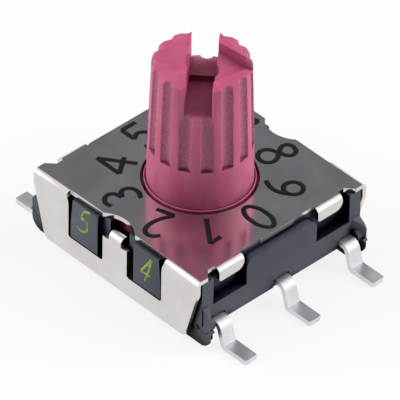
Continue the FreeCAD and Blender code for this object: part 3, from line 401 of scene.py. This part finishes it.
def soften(name, width):
    """Shows a merged copy of a solid in its place, with its sharp edges rounded over."""
    piece = bpy.data.objects.new(name + "_softened", nodes[name].data.copy())
    bpy.context.scene.collection.objects.link(piece)
    bpy.ops.object.select_all(action="DESELECT")
    piece.select_set(True)
    bpy.context.view_layer.objects.active = piece
    bpy.ops.object.mode_set(mode="EDIT")
    bpy.ops.mesh.select_all(action="SELECT")
    bpy.ops.mesh.remove_doubles(threshold=MERGE_DISTANCE)
    bpy.ops.mesh.dissolve_limited(angle_limit=FLAT_TURN, delimit=set())
    bpy.ops.object.mode_set(mode="OBJECT")
    bpy.ops.object.shade_smooth_by_angle(angle=EDGE_TURN)
    bevel = piece.modifiers.new("rounded_edges", "BEVEL")
    bevel.width = width
    bevel.segments = EDGE_SEGMENTS
    bevel.limit_method = "ANGLE"
    bevel.angle_limit = EDGE_TURN
    bevel.use_clamp_overlap = True
    bevel.harden_normals = True
    bpy.ops.object.modifier_apply(modifier=bevel.name)
    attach(piece, BODY_OF[name])
    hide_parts(name)
    print(piece.name, len(piece.data.polygons), "faces")


for name, width in EDGE_WIDTHS.items():
    soften(name, width)

# %% [markdown]
# ## Inks
#
# The dial's figures are pad-printed in black ink and the two mould numbers on the window pads in
# green. Pad-printing ink is a thin, slightly uneven film: a noise of about 0.1 mm varies its
# colour and its gloss, as the film does where the pad pressed less.

# %% Pad-printing inks
black_ink = new_material("black_marking_ink")
black_ink_space = add(black_ink, "ShaderNodeTexCoord", {}).outputs["Object"]
black_ink_film = add(black_ink, "ShaderNodeTexNoise", {
    "Vector": black_ink_space, "Scale": 1 / (0.1 * MM), "Detail": 4.0})
black_ink_colour = add(black_ink, "ShaderNodeValToRGB", {"Fac": black_ink_film}, [
    (0.3, "0D0B0F"), (0.7, "17141A")])
black_ink_surface = add(black_ink, "ShaderNodeBsdfPrincipled", {
    "Base Color": black_ink_colour, "Roughness": 0.6, "IOR": 1.48, "Specular IOR Level": 0.2})
add(black_ink, "ShaderNodeOutputMaterial", {"Surface": black_ink_surface})

green_ink = new_material("green_marking_ink")
green_ink_space = add(green_ink, "ShaderNodeTexCoord", {}).outputs["Object"]
green_ink_film = add(green_ink, "ShaderNodeTexNoise", {
    "Vector": green_ink_space, "Scale": 1 / (0.1 * MM), "Detail": 4.0})
green_ink_colour = add(green_ink, "ShaderNodeValToRGB", {"Fac": green_ink_film}, [
    (0.35, "5E7427"), (0.65, "9DB83A")])
green_ink_surface = add(green_ink, "ShaderNodeBsdfPrincipled", {
    "Base Color": green_ink_colour, "Roughness": 0.55, "IOR": 1.48})
add(green_ink, "ShaderNodeOutputMaterial", {"Surface": green_ink_surface})
print("inks:", black_ink.name, green_ink.name)

# %% [markdown]
# ## Printed figures
#
# Text objects would be quick, but a font's strokes swell and close, and these figures are open
# strokes of even width with round ends, as a stencil cutter makes them. So each stroke is a
# smooth curve with a round section, turned into a mesh and pressed flat until it stands only a
# hair above the surface. Then its mesh is carried to its place, so that its object stays at the
# origin like the solids.

# %% A printed figure from strokes
INK_HEIGHT = 0.012 * MM


def loop(right, up, half_width, half_height):
    """A closed stroke round an oval, as eight points."""
    eighths = [math.radians(45 * step) for step in range(8)]
    return True, [(right + half_width * math.cos(a), up + half_height * math.sin(a))
                  for a in eighths]


def print_figure(name, strokes, width, place, ink):
    """Prints one figure: strokes pressed flat, then carried to their place."""
    bpy.ops.object.select_all(action="DESELECT")
    bpy.ops.curve.primitive_bezier_curve_add()
    figure = bpy.context.object
    figure.name = name
    line = figure.data
    line.splines.clear()
    line.bevel_depth = width / 2
    line.bevel_resolution = 3
    line.resolution_u = 8
    line.use_fill_caps = True
    for closed, points in strokes:
        spline = line.splines.new("BEZIER")
        spline.bezier_points.add(len(points) - 1)
        spline.use_cyclic_u = closed
        for knot, (right, up) in zip(spline.bezier_points, points):
            knot.co = (right * MM, up * MM, 0)
            knot.handle_left_type = knot.handle_right_type = "AUTO"
    bpy.ops.object.convert(target="MESH")
    figure.scale = (1, 1, 2 * INK_HEIGHT / width)
    bpy.ops.object.transform_apply(location=False, rotation=False, scale=True)
    figure.data.transform(place)
    bpy.ops.object.shade_smooth()
    figure.data.materials.append(ink)
    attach(figure, "case")
    print(figure.name, len(figure.data.polygons), "faces")


# %% [markdown]
# ## Ten figures
#
# Each stroke says whether it closes on itself, and lists its points in millimetres, right and up
# from the figure's middle. The figures are narrower than those of most fonts, so each is drawn
# here on its own. The 6 is the 9 turned half round.

# %% Strokes of the dial's figures
NINE = [loop(0, 0.27, 0.28, 0.29),
        (False, [(0.28, 0.27), (0.25, -0.1), (0.09, -0.38), (-0.18, -0.57)])]
FIGURES = [
    [loop(0, 0, 0.28, 0.565)],
    [(False, [(0.06, -0.55), (0.08, 0.55)]), (False, [(0.08, 0.55), (-0.25, 0.28)])],
    [(False, [(-0.3, 0.42), (-0.1, 0.56), (0.09, 0.55), (0.22, 0.38), (0.21, 0.1),
              (0.05, -0.23), (-0.22, -0.55)]),
     (False, [(-0.22, -0.55), (0.37, -0.55)])],
    [(False, [(-0.18, 0.44), (0.05, 0.52), (0.3, 0.36), (0.3, 0.15), (0.07, -0.02)]),
     (False, [(0.07, -0.02), (0.33, -0.15), (0.33, -0.38), (0.12, -0.54), (-0.2, -0.5)])],
    [(False, [(0.18, 0.6), (0.18, -0.6)]), (False, [(0.18, 0.6), (-0.37, -0.17)]),
     (False, [(-0.37, -0.17), (0.37, -0.17)])],
    [(False, [(0.27, 0.56), (-0.27, 0.56)]), (False, [(-0.27, 0.56), (-0.27, 0.03)]),
     (False, [(-0.27, 0.03), (0, 0.15), (0.27, -0.1), (0.27, -0.35), (0, -0.56),
              (-0.28, -0.42)])],
    [(closed, [(-right, -up) for right, up in points]) for closed, points in NINE],
    [(False, [(-0.28, 0.56), (0.28, 0.56)]), (False, [(0.28, 0.56), (-0.05, -0.56)])],
    [(True, [(0, 0.565), (0.22, 0.47), (0.23, 0.27), (0, 0.06), (-0.26, -0.17), (-0.27, -0.43),
             (0, -0.59), (0.27, -0.43), (0.26, -0.17), (0, 0.06), (-0.23, 0.27), (-0.22, 0.47)])],
    NINE,
]
print(len(FIGURES), "figures of", [len(strokes) for strokes in FIGURES], "strokes")

# %% [markdown]
# ## The dial
#
# The figures stand with their feet towards the shaft, one every 36 degrees, and count clockwise
# from the middle of the +X side. A matrix carries each of them there. Its columns are the
# figure's own directions, right, outward and up, so it shows which way the feet point. The
# height is read from the cover's box, so that the ink lies on the steel.

# %% Figures round the shaft
DIAL_RADIUS = 2.48 * MM
DIAL_STROKE = 0.16 * MM
DIAL_STEP = math.radians(-36)
plate_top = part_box("cover")[1].z
for value, strokes in enumerate(FIGURES):
    outward = Vector((math.cos(DIAL_STEP * value), math.sin(DIAL_STEP * value), 0))
    rightward = Vector((outward.y, -outward.x, 0))
    place = Matrix((rightward, outward, (0, 0, 1))).transposed().to_4x4()
    place.translation = outward * DIAL_RADIUS + Vector((0, 0, plate_top))
    print_figure(f"dial_figure_{value}", strokes, DIAL_STROKE, place, black_ink)

# %% [markdown]
# ## Numbers on the window pads
#
# Two of the pads show a small green number in thin slanting strokes. It stands on the pad's face,
# 0.03 mm behind the cover's own, upright and facing -Y. The two values in front of the strokes
# place its middle, along X and up, in millimetres.

# %% Green numbers
PAD_STROKE = 0.085 * MM
PAD_RECESS = 0.03 * MM
PAD_FIGURES = {
    "5": (-1.36, 1.86, [
        (False, [(0.29, 0.44), (0.02, 0.33)]), (False, [(0.02, 0.34), (-0.1, -0.01)]),
        (False, [(-0.1, -0.01), (0.08, 0.04), (0.18, -0.12), (0.12, -0.36), (-0.07, -0.46),
                 (-0.27, -0.38)])]),
    "4": (1.32, 1.68, [
        (False, [(0.21, 0.5), (-0.24, -0.2)]), (False, [(-0.26, -0.2), (0.16, -0.17)]),
        (False, [(0.21, 0.5), (0.06, -0.1), (-0.07, -0.46)])]),
}
pad_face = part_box("cover")[0].y + PAD_RECESS
for digit, (x, z, strokes) in PAD_FIGURES.items():
    place = Matrix(((1, 0, 0), (0, 0, 1), (0, -1, 0))).transposed().to_4x4()
    place.translation = Vector((x * MM, pad_face, z * MM))
    print_figure(f"pad_number_{digit}", strokes, PAD_STROKE, place, green_ink)

# %% [markdown]
# ## White paper under the switch
#
# The floor is matt white paper. For the camera, and for what the metal mirrors, a Light Path node
# mixes in a glow of strength 1, so that the page is white without any more light on the object,
# while the shadow still shows in the rest. Rays that have already been scattered by a dull
# surface don't see that glow, or it would light the object from below.

# %% Paper floor
paper = new_material("white_studio_paper")
paper_space = add(paper, "ShaderNodeTexCoord", {}).outputs["Object"]
paper_grain = add(paper, "ShaderNodeTexNoise", {"Vector": paper_space, "Scale": 1 / (8 * MM)})
paper_colour = add(paper, "ShaderNodeValToRGB", {"Fac": paper_grain}, [
    (0.3, "ECECEC"), (0.7, "F2F2F2")])
paper_lit = add(paper, "ShaderNodeBsdfDiffuse", {"Color": paper_colour})
paper_glow = add(paper, "ShaderNodeEmission", {"Color": (1, 1, 1, 1), "Strength": 1.0})


def seen_directly(material, share):
    """The share, for rays that reach a surface without a dull bounce, and nothing for others."""
    rays = add(material, "ShaderNodeLightPath", {}).outputs
    mirrored = add(material, "ShaderNodeMath", {
        0: rays["Is Glossy Ray"], 1: rays["Is Transmission Ray"]}, operation="MAXIMUM")
    seen = add(material, "ShaderNodeMath", {
        0: mirrored, 1: rays["Is Camera Ray"]}, operation="MAXIMUM")
    unscattered = add(material, "ShaderNodeMath", {
        0: rays["Diffuse Depth"], 1: 0.5}, operation="LESS_THAN")
    direct = add(material, "ShaderNodeMath", {0: seen, 1: unscattered}, operation="MULTIPLY")
    return add(material, "ShaderNodeMath", {0: direct, 1: share}, operation="MULTIPLY")


PAPER_GLOW = 0.85
PAPER_SIDE = 3.0
paper_mix = add(paper, "ShaderNodeMixShader", {
    "Fac": seen_directly(paper, PAPER_GLOW), 1: paper_lit, 2: paper_glow})
add(paper, "ShaderNodeOutputMaterial", {"Surface": paper_mix})
bpy.ops.object.select_all(action="DESELECT")
bpy.ops.mesh.primitive_plane_add(size=PAPER_SIDE)
floor = bpy.context.object
floor.name = "paper_floor"
floor.data.materials.append(paper)
floor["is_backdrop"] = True
print(floor.name, "is", PAPER_SIDE, "m square")

# %% [markdown]
# ## Places round the switch
#
# The cards, the lamps and the camera all stand somewhere round the switch and face its middle.
# One function gives the direction to such a place, and another the placement that looks back.
# Angles are in degrees, as they would be read off a stand.

# %% Directions
CAMERA_AZIMUTH = 46.091
CAMERA_ELEVATION = 39.900
AIM = Vector((0, 0, 3.0 * MM))


def direction(azimuth, elevation):
    """Unit vector to a place round the object: azimuth 0 is in front, on -Y, and 90 on +X."""
    a, e = math.radians(azimuth), math.radians(elevation)
    return Vector((math.sin(a) * math.cos(e), -math.cos(a) * math.cos(e), math.sin(e)))


def facing(azimuth, elevation, distance):
    """Placement at a distance from the object, with its -Z towards it."""
    away = direction(azimuth, elevation)
    turned = away.to_track_quat("Z", "Y").to_matrix().to_4x4()
    turned.translation = AIM + away * distance
    return turned


back = direction(CAMERA_AZIMUTH, CAMERA_ELEVATION)
print("the camera looks from", [round(part, 3) for part in back])

# %% [markdown]
# ## A grey card behind the set
#
# The cover's top is level steel, so the camera sees mirrored in it whatever stands behind the
# switch at the height of the lens. In the photograph that was something grey, which is why the
# top looks mid grey next to a pale flange. A card stands there, cool grey in the mirror, and
# white for the camera itself.

# %% Grey card
card = new_material("grey_studio_card")
card_space = add(card, "ShaderNodeTexCoord", {}).outputs["Object"]
card_tone = add(card, "ShaderNodeTexNoise", {"Vector": card_space, "Scale": 1 / (60 * MM)})
card_colour = add(card, "ShaderNodeValToRGB", {"Fac": card_tone}, [
    (0.3, "77787F"), (0.7, "80828A")])
card_grey = add(card, "ShaderNodeEmission", {"Color": card_colour, "Strength": 1.0})
card_white = add(card, "ShaderNodeEmission", {"Color": (1, 1, 1, 1), "Strength": 1.0})
card_rays = add(card, "ShaderNodeLightPath", {}).outputs
card_mix = add(card, "ShaderNodeMixShader", {
    "Fac": card_rays["Is Camera Ray"], 1: card_grey, 2: card_white})
add(card, "ShaderNodeOutputMaterial", {"Surface": card_mix})


def stand_board(name, material, side, turn, elevation, distance):
    """A square board that faces the switch, turned away from the camera's azimuth by an angle."""
    bpy.ops.object.select_all(action="DESELECT")
    bpy.ops.mesh.primitive_plane_add(size=side)
    board = bpy.context.object
    board.name = name
    board.matrix_world = facing(CAMERA_AZIMUTH + turn, elevation, distance)
    board.data.materials.append(material)
    print(board.name, "stands", distance, "m from the switch")
    return board


grey_card = stand_board("grey_card", card, side=0.22, turn=180, elevation=40, distance=0.34)
grey_card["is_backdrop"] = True

# %% [markdown]
# ## A dark card behind the camera
#
# A photographer often hangs black card behind the camera, so that no light from there reaches
# the front of a small glossy part. It only takes light away: the card is left out of mirrors and
# casts no shadow, so steel that faces it stays clean and the floor stays even.

# %% Dark card
dark = new_material("dark_studio_card")
dark_space = add(dark, "ShaderNodeTexCoord", {}).outputs["Object"]
dark_tone = add(dark, "ShaderNodeTexNoise", {"Vector": dark_space, "Scale": 1 / (60 * MM)})
dark_colour = add(dark, "ShaderNodeValToRGB", {"Fac": dark_tone}, [
    (0.3, "262628"), (0.7, "2C2C2E")])
dark_surface = add(dark, "ShaderNodeEmission", {"Color": dark_colour, "Strength": 1.0})
add(dark, "ShaderNodeOutputMaterial", {"Surface": dark_surface})
dark_card = stand_board("dark_card", dark, side=0.36, turn=0, elevation=38, distance=0.34)
dark_card.visible_shadow = False
dark_card.visible_glossy = False
dark_card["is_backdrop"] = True

# %% [markdown]
# ## Softboxes
#
# Two wide softboxes stand to the sides, a little behind the shaft, so that its flanks are bright
# and its front stays dark, and a weaker one lights the top. A square lamp's power is worked out
# from its distance, so that its level says how bright it makes white paper that faces it. The
# lamps are left out of mirrors, because one would show in steel as a hard white square.

# %% Softboxes
SIDE_TURN = 96


def hang_softbox(name, side, turn, elevation, distance, level):
    """A square lamp. Its level is the share of full light that it gives a surface facing it."""
    lamp = bpy.data.lights.new(name, "AREA")
    lamp.size = side
    lamp.energy = level * (math.pi * distance) ** 2
    box = bpy.data.objects.new(name, lamp)
    box.matrix_world = facing(CAMERA_AZIMUTH + turn, elevation, distance)
    box.visible_glossy = False
    bpy.context.scene.collection.objects.link(box)
    print(name, "gives", level, "of full light")


hang_softbox("left_softbox", side=0.35, turn=-SIDE_TURN, elevation=30, distance=0.4, level=1.0)
hang_softbox("right_softbox", side=0.35, turn=SIDE_TURN, elevation=30, distance=0.4, level=1.1)
hang_softbox("top_softbox", side=0.3, turn=180, elevation=75, distance=0.45, level=0.15)

# %% [markdown]
# ## Reflector panels
#
# What steel and smooth plastic show of a softbox is its cloth front. A panel with the softbox's
# own direction stands for it in mirrors only, and its strength is set apart from the lamp's, so
# that the bright bands on the leads and folds can be matched without more light on the object.

# %% Reflector panels
reflector = new_material("white_reflector_cloth")
reflector_space = add(reflector, "ShaderNodeTexCoord", {}).outputs["Object"]
reflector_tone = add(reflector, "ShaderNodeTexNoise", {
    "Vector": reflector_space, "Scale": 1 / (60 * MM)})
reflector_colour = add(reflector, "ShaderNodeValToRGB", {"Fac": reflector_tone}, [
    (0.3, "F8F8F8"), (0.7, "FFFFFF")])
REFLECTOR_GLOW = 1.8
reflector_surface = add(reflector, "ShaderNodeEmission", {
    "Color": reflector_colour, "Strength": REFLECTOR_GLOW})
add(reflector, "ShaderNodeOutputMaterial", {"Surface": reflector_surface})
for name, turn in (("left_reflector", -SIDE_TURN), ("right_reflector", SIDE_TURN)):
    panel = stand_board(name, reflector, side=0.36, turn=turn, elevation=26, distance=0.42)
    panel.visible_camera = False
    panel.visible_diffuse = False
    panel.visible_shadow = False
    panel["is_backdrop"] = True
print("steel mirrors the reflectors at", REFLECTOR_GLOW, "of white")

# %% [markdown]
# ## The world
#
# The studio round the set is a dim even fill. It is white only where the camera or a mirror sees
# it straight on, so the background matches the paper and the object gets no more light from it.

# %% World
world = bpy.data.worlds.new("white_studio")
bpy.context.scene.world = world
world.use_nodes = True
world.node_tree.nodes.clear()
AMBIENT = 0.06
ambient = add(world, "ShaderNodeBackground", {"Color": (1, 1, 1, 1), "Strength": AMBIENT})
backdrop = add(world, "ShaderNodeBackground", {"Color": (1, 1, 1, 1), "Strength": 1.0})
world_mix = add(world, "ShaderNodeMixShader", {
    "Fac": seen_directly(world, 1.0), 1: ambient, 2: backdrop})
add(world, "ShaderNodeOutputWorld", {"Surface": world_mix})
print(world.name, "fills with", AMBIENT, "of white")

# %% [markdown]
# ## The camera
#
# The photograph was taken with a long lens from a little above. Its place was worked out from
# the switch's straight edges. The lens is long, so the camera stands well back, it leans by about
# a degree, and a small upward shift frames the switch as the photograph does.

# %% Camera at the photograph's angle
CAMERA_DISTANCE = 243.5 * MM
CAMERA_ROLL = math.radians(1.058)
SENSOR_WIDTH = 36
FRAME_SIDE = 400
FOCAL_PIXELS = 8417.4
CENTRE_PIXEL = (200.21, 162.61)
side = (-back).cross(Vector((0, 0, 1))).normalized()
above = side.cross(-back)
leaned_side = math.cos(CAMERA_ROLL) * side + math.sin(CAMERA_ROLL) * above
leaned_above = math.cos(CAMERA_ROLL) * above - math.sin(CAMERA_ROLL) * side
lens = bpy.data.cameras.new("camera")
lens.sensor_width = SENSOR_WIDTH
lens.lens = SENSOR_WIDTH * FOCAL_PIXELS / FRAME_SIDE
lens.shift_x = (FRAME_SIDE / 2 - CENTRE_PIXEL[0]) / FRAME_SIDE
lens.shift_y = (CENTRE_PIXEL[1] - FRAME_SIDE / 2) / FRAME_SIDE
lens.clip_start = 1 * MM
camera = bpy.data.objects.new("camera", lens)
camera.matrix_world = Matrix((leaned_side, leaned_above, back)).transposed().to_4x4()
camera.matrix_world.translation = AIM + back * CAMERA_DISTANCE
bpy.context.scene.collection.objects.link(camera)
bpy.context.scene.camera = camera
bpy.context.scene.view_settings.view_transform = "Standard"
print("the lens is", round(lens.lens), "mm")

# %% [markdown]
# ## The dressed switch's size
#
# The dressed switch must not outgrow its solids, so the box round everything shown is measured
# here, in millimetres.

# %% Measure the dressed switch
bpy.context.view_layer.update()
seen_low, seen_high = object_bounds()
seen_size = [round((high - low) / MM, 2) for low, high in zip(seen_low, seen_high)]
print("the dressed switch measures", seen_size, "mm")
